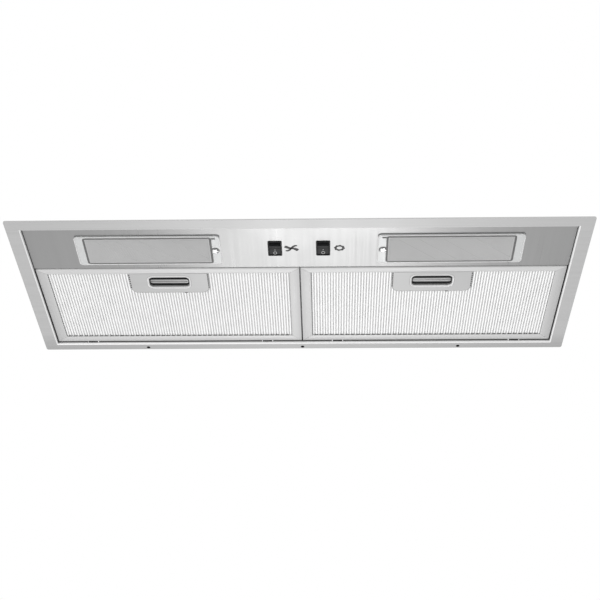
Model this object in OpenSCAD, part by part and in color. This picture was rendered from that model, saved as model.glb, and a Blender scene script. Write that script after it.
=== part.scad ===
// Under cabinet range hood (built-in canopy insert).
// X to the right, Y to the rear wall, Z up. Origin at the centre of the flange underside. Millimetres.

/* [Face frame] */
// Width of the flange, side to side
body_w = 750; // [600:5:900]
// Depth of the flange, front to rear
body_d = 285; // [270:5:340]
// Sheet thickness of frame, tray and box
sheet_t = 0.8; // [0.6:0.1:1.0]
// Flange border at each side
border_side = 18.5; // [14:0.5:26]
// Flange border in front of the opening
border_front = 18; // [14:0.5:26]
// Flange border behind the opening
border_rear = 13; // [11:0.5:18]
// Corner radius of the flange
flange_r = 3; // [1:0.5:8]
// Outer bend radius round the opening
bend_r = 1.6; // [1.2:0.1:2.4]
// Width of the folded hem under the flange edge
hem_w = 8; // [5:0.5:10]
// Height of the wall round the opening
wall_h = 12; // [10:0.5:12.5]
// Distance between the screw holes in the rear flange
mount_pitch = 225; // [150:5:260]
// Radius of the screw holes in the rear flange
mount_hole_r = 2.2; // [1.8:0.1:3]
// Distance of those holes from the rear edge
mount_edge = 4.6; // [4:0.1:6]

/* [Control panel] */
// Height of the panel underside above the flange underside
recess = 5; // [4:0.5:6]
// Depth of the control panel
panel_d = 84.5; // [76:0.5:95]
// Length of each lamp lens
lens_w = 189.5; // [150:0.5:220]
// Depth of each lamp lens
lens_d = 56; // [46:0.5:64]
// Distance of each lens centre from the middle
lens_x = 197.2; // [170:0.1:220]
// Distance of the lens centres behind the panel front edge
lens_y = 45.6; // [38:0.1:50]
// Distance of each rocker switch from the middle
switch_x = 31.5; // [24:0.5:50]
// Switch bezel width
bezel_w = 18.5; // [15:0.5:22]
// Switch bezel depth
bezel_d = 28; // [22:0.5:30]
// Rocker tilt each way from level
rocker_tilt = 11; // [6:1:12]
// Lamp bulb radius
bulb_r = 11; // [9:0.5:12.5]

/* [Filters] */
// Thickness of each grease filter
filter_t = 9; // [8:0.5:12]
// Gap between the two filters and at their sides
filter_gap = 1.5; // [1:0.1:3]
// Side rail width of the filter frame
rail_side = 14; // [10:0.5:18]
// Front rail width of the filter frame
rail_front = 10; // [8:0.5:14]
// Rear rail width of the filter frame
rail_rear = 12; // [8:0.5:16]
// Width of the latch plate
latch_w = 105; // [80:1:120]
// Depth of the latch plate behind the front rail
latch_d = 40.4; // [34:0.1:50]
// Width of the finger hole in the latch plate
finger_w = 54; // [44:1:66]
// Depth of the finger hole in the latch plate
finger_d = 20; // [16:0.5:24]
// How far the latch tongue still has to travel to its stop
latch_travel = 3; // [2:0.5:4]

/* [Housing] */
// Height of the tray above the flange underside
tray_h = 62; // [56:1:70]
// Rise of the sloping front per millimetre of depth
front_rise = 0.87; // [0.8:0.01:0.87]
// Height of the motor box top above the flange underside
box_top = 140; // [138:1:150]
// Motor box width
box_w = 340; // [320:5:400]
// Outside width of the rectangular outlet collar
collar_w = 253; // [250:1:260]
// Outside depth of the rectangular outlet collar
collar_d = 82.5; // [80:0.5:90]
// Height of the outlet collar above the motor box
collar_h = 20; // [16:1:30]

/* [Blower] */
// Impeller radius
imp_r = 42; // [36:1:46]
// Width of each impeller
imp_w = 66; // [50:1:68]
// Blades round each impeller
blades = 30; // [20:2:34]
// Distance of each scroll's inner wall from the middle
scroll_x0 = 46; // [42:1:50]
// Scroll width, outside
scroll_w = 78; // [64:1:80]
// Motor can radius
can_r = 34; // [28:1:36]
// Motor shaft radius
shaft_r = 4; // [3:0.5:5]

/* [Hidden] */
$fn = 96;
function lid(y) = front_rise*(y + body_d/2) - 1.2; // top of the sloping front
function lid_y(z) = (z + 1.2)/front_rise - body_d/2;
lid_t = sheet_t*1.33; // the sloping sheet, measured upright
t = sheet_t;
gap = 0.3; // seat between fixed pieces
run = 0.08; // running clearance, radial
ox = body_w/2 - border_side; // half width of the opening
yf = -body_d/2 + border_front; // front of the opening
yr = body_d/2 - border_rear; // rear of the opening
oc = (yf + yr)/2; // centre of the opening
od = yr - yf;

// control panel
panel_gap = 0.7;
panel_x = ox - panel_gap;
panel_y0 = yf + 0.5;
panel_y1 = panel_y0 + panel_d - 0.5;
panel_z = recess;
panel_top = recess + t;
return_h = filter_z1() - panel_z;
lid_gap = 0.8; // panel front under the sloping sheet
front_h = lid(panel_y0) - lid_t - lid_gap - panel_z;
lens_yc = yf + lens_y;
lens_t = 1.7;
window_w = 162;
window_d = 46;
lens_hole_w = 168;
lens_hole_d = 49;
lens_screw_x = lens_x - lens_w/2 + 7.2;
screw_r = 1.9;
screw_hole_r = 2.15;
bezel_proud = 1.2;
switch_yc = yf + 44.5;
rocker_w = 14.6;
rocker_l = 22.4;
rocker_z = recess + 4.6;
pivot_r = 1.5;
cut_w = bezel_w - 2;
cut_d = bezel_d - 1.4;

// filters
function filter_z1() = recess - 1 + filter_t;
filter_z0 = recess - 1;
filter_y0 = panel_y1 + 0.7;
filter_y1 = yr - 2;
filter_x0 = filter_gap/2;
filter_x1 = ox - filter_gap;
filter_w = filter_x1 - filter_x0;
filter_cx = (filter_x0 + filter_x1)/2;
filter_d = filter_y1 - filter_y0;
filter_cy = (filter_y0 + filter_y1)/2;
rail_t = 0.7;
media_x0 = filter_x0 + rail_side;
media_x1 = filter_x1 - rail_side;
media_y0 = filter_y0 + rail_front;
media_y1 = filter_y1 - rail_rear;
hook_w = 14;
hook_reach = 5;
hook_x = filter_w/2 - 50;
hook_slot_w = hook_w + 2;
hook_slot_z0 = filter_z0 - 0.4;
hook_slot_h = 6.6;
latch_y0 = media_y0 + 0.1;
latch_y1 = latch_y0 + latch_d;
finger_y1 = latch_y1 - 12.4;
finger_y0 = finger_y1 - finger_d;
finger_yc = (finger_y0 + finger_y1)/2;
grip_d = finger_d - 9.5;
grip_y0 = finger_y0 + 4;
hinge_r = 0.8; // rolled bead on each hook, the filter turns about it
hinge_z = filter_z0 + 0.6;
slide_w = finger_w + 8;
slide_z = filter_z0 + 3.2;
slide_t = 1.4;
tongue_w = 30;
tongue_y0 = filter_y0 - 0.4;
keeper_z0 = slide_z - 0.6;
keeper_h = slide_t + 1.2;
pocket_w = slide_w + 9;
pocket_y1 = finger_y1 + 9;

// tray and box
tray_gap = 0.1;
tray_x = ox + t + tray_gap;
tray_y0 = yf - t - tray_gap;
tray_y1 = yr + t + tray_gap;
part_z = 40;
part_y0 = panel_y1 - 4;
part_y1 = lid_y(part_z + t + lid_t) + 0.5;
box_flange = 10;
box_z0 = tray_h + 0.1;
box_y0 = lid_y(box_z0);
box_y1 = tray_y1 + t - 4;
vent_x = box_w/2 - 8;
vent_y0 = lid_y(tray_h) + 6;
vent_y1 = box_y1 - 2;

// outlet
collar_t = 1;
collar_y1 = box_y1 - 1.5;
collar_y0 = collar_y1 - collar_d;
collar_yc = (collar_y0 + collar_y1)/2;
collar_rim = 7;
flap_y = collar_y1 - 5;
flap_z = box_top + 7;
flap_pin_r = 2;
flap_t = 0.8;

// blower
scroll_r0 = imp_r + 6;
scroll_r1 = imp_r + 20;
scroll_t = 1.6;
throat_y1 = collar_y1 - 2;
blow_y = throat_y1 - scroll_r1;
throat_y0 = blow_y + 2;
throat_top = box_top - t - gap;
blow_z = throat_top - scroll_r0 - 3;
inlet_r = imp_r - 10;
can_x = 30;
can_t = 1.2;

// electrics
term_x0 = -box_w/2 + t + gap;
term_w = 40;
run_y = part_y0 - 5; // the leads run along here
term_y0 = run_y + 19;
term_y1 = term_y0 + 60;
term_z0 = tray_h + 4;
term_h = 27;
gland_r = 6;
cable_r = 4.2; // way through the gland
gland_y = term_y0 + 44;
gland_z = term_z0 + 13.5;
lead_r = 2.4;

// ---------- helpers ----------
module rrect(w, d, r) {
  square([w - 2*r, d], center = true);
  square([w, d - 2*r], center = true);
  for (sx = [-1, 1], sy = [-1, 1])
    translate([sx*(w/2 - r), sy*(d/2 - r)]) circle(r = r);
}
module slab(w, d, r, z, h) {
  translate([0, 0, z]) linear_extrude(h) rrect(w, d, r);
}
module box3(x0, x1, y0, y1, z0, z1) {
  translate([x0, y0, z0]) cube([x1 - x0, y1 - y0, z1 - z0]);
}
// a profile in (Y, Z) drawn out along X
module along_x(x0, x1) {
  translate([x0, 0, 0]) rotate([90, 0, 90]) linear_extrude(x1 - x0) children();
}
// a profile in (X, Z) drawn out along Y
module along_y(y0, y1) {
  translate([0, y1, 0]) rotate([90, 0, 0]) linear_extrude(y1 - y0) children();
}
module rod_x(x0, x1, r) {
  translate([x0, 0, 0]) rotate([0, 90, 0]) cylinder(r = r, h = x1 - x0);
}
module ring_z(r1, r0, z, h) {
  translate([0, 0, z]) difference() {
    cylinder(r = r1, h = h);
    translate([0, 0, -1]) cylinder(r = r0, h = h + 2);
  }
}
module ring_x(x0, x1, r1, r0) {
  difference() {
    rod_x(x0, x1, r1);
    rod_x(x0 - 1, x1 + 1, r0);
  }
}
// quarter bend of sheet in flat steps, outer corner at the origin, in the first quadrant
bend_steps = 6;
module bend(r, th) {
  arc = [for (i = [0:bend_steps]) 90*i/bend_steps];
  polygon(concat([for (a = arc) [r - r*cos(a), r - r*sin(a)]],
    [for (i = [0:bend_steps]) let (a = arc[bend_steps - i])
      [r - (r - th)*cos(a), r - (r - th)*sin(a)]]));
}
// pan head screw pointing up, underside of the head at z = 0
module screw_up(head_r, head_h, shank_r, len) {
  translate([0, 0, -head_h]) difference() {
    cylinder(r = head_r, h = head_h);
    for (a = [0, 90]) rotate([0, 0, a])
      translate([-head_r*0.6, -0.4, -1]) cube([head_r*1.2, 0.8, 1 + head_h*0.5]);
  }
  translate([0, 0, -0.1]) cylinder(r = shank_r, h = len + 0.1);
}

// ---------- face frame and panel ----------
module frame_bend(s_len) {
  along_x(-s_len, s_len) bend(bend_r, t);
}
module face_frame() color([0.78, 0.78, 0.79]) difference() {
  union() {
    difference() {
      union() {
        slab(body_w, body_d, flange_r, 0, t);
        difference() {
          slab(body_w, body_d, flange_r, t - 0.01, t + 0.01);
          slab(body_w - 2*hem_w, body_d - 2*hem_w, flange_r, t - 0.1, t + 1);
        }
      }
      translate([0, oc, -1]) linear_extrude(4)
        square([2*(ox + bend_r), od + 2*bend_r], center = true);
    }
    translate([0, yr, 0]) frame_bend(ox + bend_r);
    translate([0, yf, 0]) rotate([0, 0, 180]) frame_bend(ox + bend_r);
    translate([ox, oc, 0]) rotate([0, 0, -90]) frame_bend(od/2 + bend_r);
    translate([-ox, oc, 0]) rotate([0, 0, 90]) frame_bend(od/2 + bend_r);
    translate([0, oc, bend_r]) linear_extrude(wall_h - bend_r) difference() {
      square([2*(ox + t), od + 2*t], center = true);
      square([2*ox, od], center = true);
    }
  }
  for (i = [-1, 0, 1]) translate([i*mount_pitch, body_d/2 - mount_edge, -1])
    cylinder(r = mount_hole_r, h = 6);
  hook_slots(yr - 1, yr + 3);
  shell_holes();
}
module hook_slots(y0, y1) {
  for (sf = [-1, 1], sh = [-1, 1]) {
    hx = sf*filter_cx + sh*hook_x;
    box3(hx - hook_slot_w/2, hx + hook_slot_w/2, y0, y1, hook_slot_z0,
      hook_slot_z0 + hook_slot_h);
  }
}
shell_screw_y = [-100, 0, 100];
shell_screw_z = 8;
module shell_holes() {
  for (s = [-1, 1], y = shell_screw_y) translate([s*ox, y, shell_screw_z])
    rod_x(-4, 4, screw_hole_r);
}
module control_panel() color([0.85, 0.85, 0.86]) difference() {
  union() {
    box3(-panel_x, panel_x, panel_y0, panel_y1 - bend_r + 0.01, panel_z, panel_top);
    translate([0, panel_y1, panel_z]) rotate([0, 0, 180]) along_x(-panel_x, panel_x)
      bend(bend_r, t);
    box3(-panel_x, panel_x, panel_y1 - t, panel_y1, panel_z + bend_r - 0.01,
      panel_z + return_h);
    box3(-panel_x, panel_x, panel_y0, panel_y0 + t, panel_z, panel_z + front_h);
    for (s = [-1, 1]) box3(s > 0 ? panel_x - t : -panel_x, s > 0 ? panel_x : t - panel_x,
      panel_y0, panel_y1 - bend_r, panel_z, panel_z + front_h);
  }
  for (s = [-1, 1]) {
    translate([s*lens_x, lens_yc, panel_z - 1]) linear_extrude(4)
      rrect(lens_hole_w, lens_hole_d, 4);
    translate([s*lens_screw_x, lens_yc, panel_z - 1]) cylinder(r = screw_hole_r, h = 4);
    translate([s*switch_x, switch_yc, panel_z - 1]) linear_extrude(4)
      square([cut_w + 0.4, cut_d + 0.4], center = true);
    box3(s*filter_cx - tongue_w/2 - 0.6, s*filter_cx + tongue_w/2 + 0.6, panel_y1 - 3,
      panel_y1 + 1, keeper_z0, keeper_z0 + keeper_h);
  }
}
module lamp_lens(s) color([0.9, 0.93, 0.95, 0.6]) translate([s*lens_x, lens_yc, 0])
  difference() {
    union() {
      slab(lens_w, lens_d, 4.5, panel_z - gap - lens_t, lens_t);
      slab(window_w, window_d, 3, panel_z - gap - 0.1, t + 1.6);
    }
    translate([s*(lens_screw_x - lens_x), 0, -1]) cylinder(r = screw_hole_r, h = 20);
  }
module lamp_lens_left() lamp_lens(-1);
module lamp_lens_right() lamp_lens(1);
hous_w = 186;
hous_d = 50.4;
hous_z0 = panel_top + 0.1;
hous_z1 = 37;
module housing_outline(m) {
  y0 = -hous_d/2 + m;
  polygon([[y0, hous_z0 - (m > 0 ? 1 : 0)], [y0, 20 - m/2], [y0 + 16, hous_z1 - m],
    [hous_d/2 - m, hous_z1 - m], [hous_d/2 - m, hous_z0 - (m > 0 ? 1 : 0)]]);
}
module lamp_housing(s) color([0.8, 0.8, 0.82]) translate([s*lens_x, lens_yc, 0])
  difference() {
    union() {
      along_x(-hous_w/2, hous_w/2) housing_outline(0);
      slab(lens_w + 6, lens_d - 2, 3, hous_z0, t);
    }
    along_x(-hous_w/2 + t, hous_w/2 - t) housing_outline(t);
    translate([s*(lens_screw_x - lens_x), 0, 0]) cylinder(r = screw_r - 0.15, h = 8);
    translate([s*(hous_w/2 - 12), hous_d/2 - 2, 20]) rotate([-90, 0, 0])
      cylinder(r = lead_r + 1.2, h = 6);
  }
module lamp_housing_left() lamp_housing(-1);
module lamp_housing_right() lamp_housing(1);
bulb_z = 21.5;
sock_x1 = hous_w/2 - t - gap;
sock_len = 28;
module at_lamp(s) {
  translate([s*lens_x, lens_yc, bulb_z]) scale([s, 1, 1]) children();
}
module lamp_socket(s) color([0.92, 0.92, 0.9]) at_lamp(s) difference() {
  union() {
    rod_x(sock_x1 - sock_len, sock_x1, 12.6);
    box3(sock_x1 - 3, sock_x1, -14, 14, -8, 8);
  }
  rod_x(sock_x1 - sock_len - 1, sock_x1 - 6, 8);
}
module lamp_socket_left() lamp_socket(-1);
module lamp_socket_right() lamp_socket(1);
bulb_x1 = sock_x1 - sock_len + 2;
bulb_len = 84;
module bulb_solid(r, neck_r, z0) {
  translate([0, 0, z0]) cylinder(r = neck_r, h = 12);
  translate([0, 0, 8 + bulb_r - r]) cylinder(r = r, h = bulb_len - 2*bulb_r - 8 + r);
  translate([0, 0, bulb_len - bulb_r]) sphere(r = r - 0.01);
}
module lamp_bulb(s) color([0.95, 0.95, 0.9, 0.6]) at_lamp(s)
  translate([bulb_x1, 0, 0]) rotate([0, -90, 0]) difference() {
    bulb_solid(bulb_r, 6.4, 0);
    bulb_solid(bulb_r - 1, 5.4, -1);
  }
module lamp_bulb_left() lamp_bulb(-1);
module lamp_bulb_right() lamp_bulb(1);
module bulb_bases() color([0.75, 0.72, 0.6]) for (s = [-1, 1]) at_lamp(s) {
  difference() {
    union() {
      for (i = [0:4]) translate([i*3.2, 0, 0]) rod_x(bulb_x1 - 2, bulb_x1 + 0.2, 7.6);
      rod_x(bulb_x1 - 5, bulb_x1 + 15, 7.1);
    }
    rod_x(bulb_x1 - 6, bulb_x1 + 13, 6.5);
  }
  rod_x(bulb_x1 + 15 - 0.1, bulb_x1 + 18, 3);
}
module lens_screws() color([0.7, 0.7, 0.72]) for (s = [-1, 1])
  translate([s*lens_screw_x, lens_yc, panel_z - gap - lens_t - 0.05])
    screw_up(3.75, 1.6, screw_r - 0.2, 9);

// ---------- rocker switches ----------
module switch_body(s) color([0.06, 0.06, 0.06]) translate([s*switch_x, switch_yc, 0])
  difference() {
    union() {
      slab(bezel_w, bezel_d, 1.5, panel_z - bezel_proud - 0.05, bezel_proud);
      slab(cut_w, cut_d, 0.5, panel_z - 0.2, 20);
      for (x = [-4, 4], y = [-7, 7])
        box3(x - 0.4, x + 0.4, y - 3, y + 3, panel_z + 19, panel_z + 27);
    }
    slab(rocker_w + 0.8, rocker_l + 3.2, 0.8, 0, panel_z + 15);
    translate([0, 0, rocker_z]) rod_x(-bezel_w/2 + 1.4, bezel_w/2 - 1.4, pivot_r + run);
  }
module fan_switch_body() switch_body(-1);
module light_switch_body() switch_body(1);
module rocker(s) color([0.08, 0.08, 0.08])
  translate([s*switch_x, switch_yc, rocker_z]) rotate([rocker_tilt, 0, 0]) {
    drop = rocker_l/2*tan(rocker_tilt);
    along_x(-rocker_w/2, rocker_w/2) polygon([[-rocker_l/2, -5 - drop], [0, -5],
      [rocker_l/2, -5 - drop], [rocker_l/2, -1.5], [4, 3], [-4, 3], [-rocker_l/2, -1.5]]);
    rod_x(-bezel_w/2 + 1.7, bezel_w/2 - 1.7, pivot_r);
  }
module fan_rocker() rocker(-1);
module light_rocker() rocker(1);

// ---------- filters ----------
module at_filter(s) translate([s*filter_cx, filter_cy, 0]) children();
module filter_frame(s) color([0.82, 0.83, 0.83]) {
  at_filter(s) difference() {
    slab(filter_w, filter_d, 1.2, filter_z0, filter_t);
    slab(filter_w - 2*rail_t, filter_d - 2*rail_t, 0.8, filter_z0 + rail_t,
      filter_t - 2*rail_t);
    translate([0, (rail_front - rail_rear)/2, filter_z0 - 1]) linear_extrude(filter_t + 2)
      square([filter_w - 2*rail_side, filter_d - rail_front - rail_rear], center = true);
    box3(-tongue_w/2 - 0.6, tongue_w/2 + 0.6, -filter_d/2 - 1, -filter_d/2 + 2,
      keeper_z0, keeper_z0 + keeper_h);
  }
  for (sh = [-1, 1]) {
    hx = s*filter_cx + sh*hook_x;
    box3(hx - hook_w/2, hx + hook_w/2, filter_y1 - 4, filter_y1 + hook_reach, filter_z0,
      filter_z0 + rail_t);
    translate([0, filter_y1, hinge_z]) rod_x(hx - hook_w/2, hx + hook_w/2, hinge_r);
  }
}
module filter_frame_left() filter_frame(-1);
module filter_frame_right() filter_frame(1);
module latch_pocket(s, m, z0, z1) {
  box3(s*filter_cx - pocket_w/2 - m, s*filter_cx + pocket_w/2 + m, filter_y0 + 0.8,
    pocket_y1 + m, z0, z1);
}
mesh_t = 1.5;
module filter_mesh(s) color([0.9, 0.91, 0.92]) difference() {
  at_filter(s) slab(filter_w - 2*rail_t - 0.4, filter_d - 2*rail_t - 0.4, 0.6,
    filter_z0 + rail_t + 0.02, mesh_t);
  latch_pocket(s, 0, filter_z0 - 1, filter_z0 + 4);
}
module filter_mesh_left() filter_mesh(-1);
module filter_mesh_right() filter_mesh(1);
layer_t = 0.4; // one sheet of the media pack
layer_gap = 0.9;
layers = floor((filter_t - 2*rail_t - mesh_t)/(layer_t + layer_gap));
module filter_media(s) color([0.75, 0.76, 0.77]) difference() {
  at_filter(s) for (i = [0:layers - 1])
    slab(filter_w - 2*rail_t - 0.4, filter_d - 2*rail_t - 0.4, 0.6,
      filter_z0 + rail_t + mesh_t + 0.15 + i*(layer_t + layer_gap), layer_t);
  latch_pocket(s, 0, filter_z0 - 1, filter_z1());
}
module filter_media_left() filter_media(-1);
module filter_media_right() filter_media(1);
plate_t = 0.7;
module latch_plate(s) color([0.72, 0.73, 0.74]) translate([s*filter_cx, 0, 0])
  difference() {
    union() {
      translate([0, (latch_y0 + latch_y1)/2, filter_z0 - 0.05]) linear_extrude(plate_t)
        difference() {
          union() {
            rrect(latch_w, latch_d, 9);
            translate([-latch_w/2, -latch_d/2]) square([latch_w, latch_d/2]);
          }
          translate([0, finger_yc - (latch_y0 + latch_y1)/2])
            rrect(finger_w, finger_d, 5.5);
        }
      translate([0, finger_yc, filter_z0]) linear_extrude(2.6) difference() {
        rrect(finger_w + 2*plate_t, finger_d + 2*plate_t, 6.2);
        rrect(finger_w, finger_d, 5.5);
      }
    }
  }
module latch_plate_left() latch_plate(-1);
module latch_plate_right() latch_plate(1);
guide_z1 = slide_z + slide_t + 2;
module latch_guide(s) color([0.2, 0.2, 0.2]) translate([s*filter_cx, 0, 0]) {
  for (q = [-1, 1]) {
    x0 = q > 0 ? slide_w/2 + 0.3 : -slide_w/2 - 2.3;
    box3(x0, x0 + 2, finger_y0 - 5, finger_y1 + 5, filter_z0 + plate_t + 0.1, guide_z1);
  }
  box3(-slide_w/2 - 1, slide_w/2 + 1, finger_y0 - 5, finger_y0 - 1,
    slide_z + slide_t + 0.3, guide_z1);
  box3(-slide_w/2 - 1, slide_w/2 + 1, finger_y1 + 1, finger_y1 + 5,
    slide_z + slide_t + 0.3, guide_z1);
}
module latch_guide_left() latch_guide(-1);
module latch_guide_right() latch_guide(1);
grip_w = finger_w - 2;
module latch_slider(s) color([0.1, 0.1, 0.1]) translate([s*filter_cx, 0, 0]) {
  difference() {
    box3(-slide_w/2, slide_w/2, finger_y0 - 2, finger_y1 - 0.5, slide_z, slide_z + slide_t);
    box3(-grip_w/2 + 4, grip_w/2 - 4, grip_y0 + 1.2, grip_y0 + grip_d - 1.2, slide_z - 1,
      slide_z + slide_t - 0.6);
  }
  difference() {
    translate([0, grip_y0 + grip_d/2, filter_z0 + 1.2])
      linear_extrude(slide_z + 0.1 - filter_z0 - 1.2) rrect(grip_w, grip_d, 4.5);
    for (q = [-1, 1]) box3(-grip_w/2 - 1, grip_w/2 + 1,
      grip_y0 + grip_d/2 + (q > 0 ? 0.6 : -grip_d/2 - 1),
      grip_y0 + grip_d/2 + (q > 0 ? grip_d : -0.6), 0, filter_z0 + 1.8);
  }
  box3(-tongue_w/2, tongue_w/2, tongue_y0, finger_y0 - 1.9, slide_z, slide_z + slide_t);
}
module latch_slider_left() latch_slider(-1);
module latch_slider_right() latch_slider(1);

// ---------- tray, partition, box ----------
box_screw_y = [-40, 0, 50, 100];
module box_screw_at() {
  for (y = box_screw_y, s = [-1, 1])
    translate([s*(box_w/2 + box_flange/2 + 0.5), y, 0]) children();
}
grommet_x = -140;
module tray_outline(m, z0) {
  polygon([[tray_y0 - t + m, z0], [tray_y0 - t + m, lid(tray_y0 - t + m) - (m > 0 ? lid_t : 0)],
    [lid_y(tray_h - m + (m > 0 ? lid_t : 0)), tray_h - m], [tray_y1 + t - m, tray_h - m],
    [tray_y1 + t - m, z0]]);
}
module tray_shell() color([0.7, 0.71, 0.72]) difference() {
  along_x(-tray_x - t, tray_x + t) tray_outline(0, bend_r + 0.1);
  along_x(-tray_x, tray_x) tray_outline(t, 0);
  box3(-vent_x, vent_x, vent_y0, vent_y1, tray_h - 2, tray_h + 1);
  hook_slots(tray_y1 - 1, tray_y1 + 3);
  shell_holes();
  box_screw_at() translate([0, 0, tray_h - 3]) cylinder(r = screw_hole_r, h = 5);
  for (s = [-1, 1], y = clip_y) translate([s*tray_x, y, clip_z]) rod_x(-3, 3, 2.15);
}
module partition() color([0.68, 0.69, 0.7]) difference() {
  along_x(-ox + gap, ox - gap) {
    z0 = filter_z1() + gap;
    y2 = part_y0 + 12;
    translate([part_y0, z0]) square([y2 - part_y0, t]);
    translate([part_y0, z0]) square([t, part_z + t - z0]);
    translate([part_y1, part_z]) square([part_y0 - part_y1 + t, t]);
  }
  translate([grommet_x, run_y, part_z - 2]) cylinder(r = 4.5, h = 5);
}
module centre_support() color([0.68, 0.69, 0.7]) {
  z0 = filter_z1() + gap;
  y0 = part_y0 + 12.4;
  along_y(y0, tray_y1 - gap) {
    for (q = [-1, 1]) translate([q > 0 ? 12 : -12 - t, z0]) square([t, 10]);
    translate([-12.1, z0 + 10 - t]) square([24.2, t]);
    for (q = [-1, 1]) translate([q > 0 ? 4 : -12.1, z0]) square([8.1, t]);
  }
}
module box_outline(m, z0) {
  polygon([[lid_y(z0 + (m > 0 ? lid_t : 0)), z0],
    [lid_y(box_top - m + (m > 0 ? lid_t : 0)), box_top - m], [box_y1 - m, box_top - m],
    [box_y1 - m, z0]]);
}
module motor_box() color([0.72, 0.73, 0.74]) difference() {
  union() {
    along_x(-box_w/2, box_w/2) box_outline(0, box_z0);
    for (s = [-1, 1]) box3(s > 0 ? box_w/2 - 1 : -box_w/2 - box_flange,
      s > 0 ? box_w/2 + box_flange : 1 - box_w/2, box_y0 + 8, box_y1 - 2, box_z0,
      box_z0 + t);
  }
  along_x(-box_w/2 + t, box_w/2 - t) box_outline(t, box_z0 - 1);
  box3(-collar_w/2 + collar_t, collar_w/2 - collar_t, collar_y0 + collar_t,
    collar_y1 - collar_t, box_top - 3, box_top + 2);
  box_screw_at() translate([0, 0, box_z0 - 1]) cylinder(r = screw_hole_r, h = 4);
  collar_screw_at() translate([0, 0, box_top - 3]) cylinder(r = screw_hole_r, h = 5);
  bracket_screw_at() translate([0, 0, box_top - 3]) cylinder(r = screw_hole_r, h = 5);
  translate([-box_w/2 + 3, gland_y, gland_z]) rotate([0, -90, 0])
    cylinder(r = gland_r + 0.2, h = 6);
}
module shell_screws() color([0.7, 0.7, 0.72]) for (s = [-1, 1], y = shell_screw_y)
  translate([s*(tray_x + t), y, shell_screw_z]) scale([s, 1, 1]) {
    rod_x(0.02, 2.2, 3.6);
    rod_x(-2*t, 0.1, screw_r);
  }
module screw_down(len) {
  mirror([0, 0, 1]) screw_up(3, 1.8, screw_r, len);
}
module box_screws() color([0.7, 0.7, 0.72]) {
  box_screw_at() translate([0, 0, box_z0 + t + 0.02]) screw_down(6);
  collar_screw_at() translate([0, 0, box_top + 1.22]) screw_down(3.5);
}
module collar_screw_at() {
  for (x = [-90, -35, 35, 90]) translate([x, collar_y0 - 3.8, 0]) children();
  for (s = [-1, 1], y = [-24, 24])
    translate([s*(collar_w/2 + 3.8), collar_yc + y, 0]) children();
}
clip_y = [-55, 55];
clip_z = 46;
module spring_clips() color([0.6, 0.6, 0.62]) for (s = [-1, 1], y = clip_y)
  translate([s*(tray_x + t), y, 0]) scale([s, 1, 1]) {
    difference() {
      box3(0.02, 1, -12, 12, 16, 56);
      translate([0, 0, clip_z]) rod_x(-1, 3, 2.15);
    }
    along_y(-12, 12) polygon([[0.02, 16], [5.3, 24], [7.5, 30], [8.4, 30], [6.2, 23.4],
      [1, 15.4], [0.02, 15.4]]);
    translate([0, 0, clip_z]) {
      rod_x(1.02, 3.2, 3.6);
      rod_x(-2.5, 1.2, screw_r);
    }
  }

// ---------- blower ----------
function spiral(a, d) = scroll_r0 + d + (scroll_r1 - scroll_r0)*a/270;
module scroll_outline(d) {
  steps = 54;
  polygon(concat(
    [for (i = [0:steps]) let (a = 270*i/steps, r = spiral(a, d))
      [blow_y + r*cos(90 + a), blow_z + r*sin(90 + a)]],
    [[throat_y1 + d, throat_top], [throat_y0 - d, throat_top],
      [throat_y0 - d, blow_z + scroll_r0 + d - 0.6]]));
}
boss_at = [130, 190, 235, 290];
module boss_pos(i) {
  a = boss_at[i];
  r = spiral(a - 90, 4);
  translate([0, blow_y + r*cos(a), blow_z + r*sin(a)]) children();
}
module mirrored(s) {
  scale([s, 1, 1]) children();
}
scroll_x1 = scroll_x0 + scroll_w;
cover_x = scroll_x1 - scroll_t;
// spiral wall with its inner side wall; the outer side is closed by the inlet cover
module scroll(s) mirrored(s) difference() {
  union() {
    along_x(scroll_x0, cover_x - 0.1) difference() {
      scroll_outline(0);
      scroll_outline(-scroll_t);
      translate([throat_y0 + scroll_t, throat_top - 6])
        square([throat_y1 - throat_y0 - 2*scroll_t, 8]);
    }
    along_x(scroll_x0, scroll_x0 + scroll_t) difference() {
      scroll_outline(-0.1);
      translate([blow_y, blow_z]) circle(r = shaft_r + 9);
    }
    for (i = [0:3]) boss_pos(i) rod_x(cover_x - 12, cover_x - 0.1, 4.5);
    box3(scroll_x0, cover_x - 0.1, throat_y1 - 1, box_y1 - t - gap, throat_top - 2.4,
      throat_top);
  }
  for (i = [0:3]) boss_pos(i) rod_x(cover_x - 20, cover_x + 2, screw_r - 0.15);
  along_x(scroll_x0 + scroll_t, cover_x) scroll_outline(-scroll_t - 0.02);
}
module scroll_left() color([0.15, 0.15, 0.16]) scroll(-1);
module scroll_right() color([0.17, 0.17, 0.18]) scroll(1);
module scroll_cover(s) mirrored(s) difference() {
  union() {
    along_x(cover_x, scroll_x1) scroll_outline(0);
    for (i = [0:3]) boss_pos(i) rod_x(cover_x, scroll_x1, 4.5);
    at_blower() ring_x(cover_x - 5, scroll_x1, inlet_r + 2, inlet_r);
  }
  at_blower() rod_x(cover_x - 10, scroll_x1 + 5, inlet_r);
  for (i = [0:3]) boss_pos(i) rod_x(cover_x - 1, scroll_x1 + 1, screw_hole_r);
}
module scroll_cover_left() color([0.2, 0.2, 0.21]) scroll_cover(-1);
module scroll_cover_right() color([0.2, 0.2, 0.21]) scroll_cover(1);
module scroll_screws() color([0.7, 0.7, 0.72]) for (s = [-1, 1]) mirrored(s)
  for (i = [0:3]) boss_pos(i) {
    rod_x(scroll_x1 + 0.05, scroll_x1 + 2, 3.6);
    rod_x(scroll_x1 - 9, scroll_x1 + 0.1, screw_r - 0.2);
  }
module at_blower() translate([0, blow_y, blow_z]) children();
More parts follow.
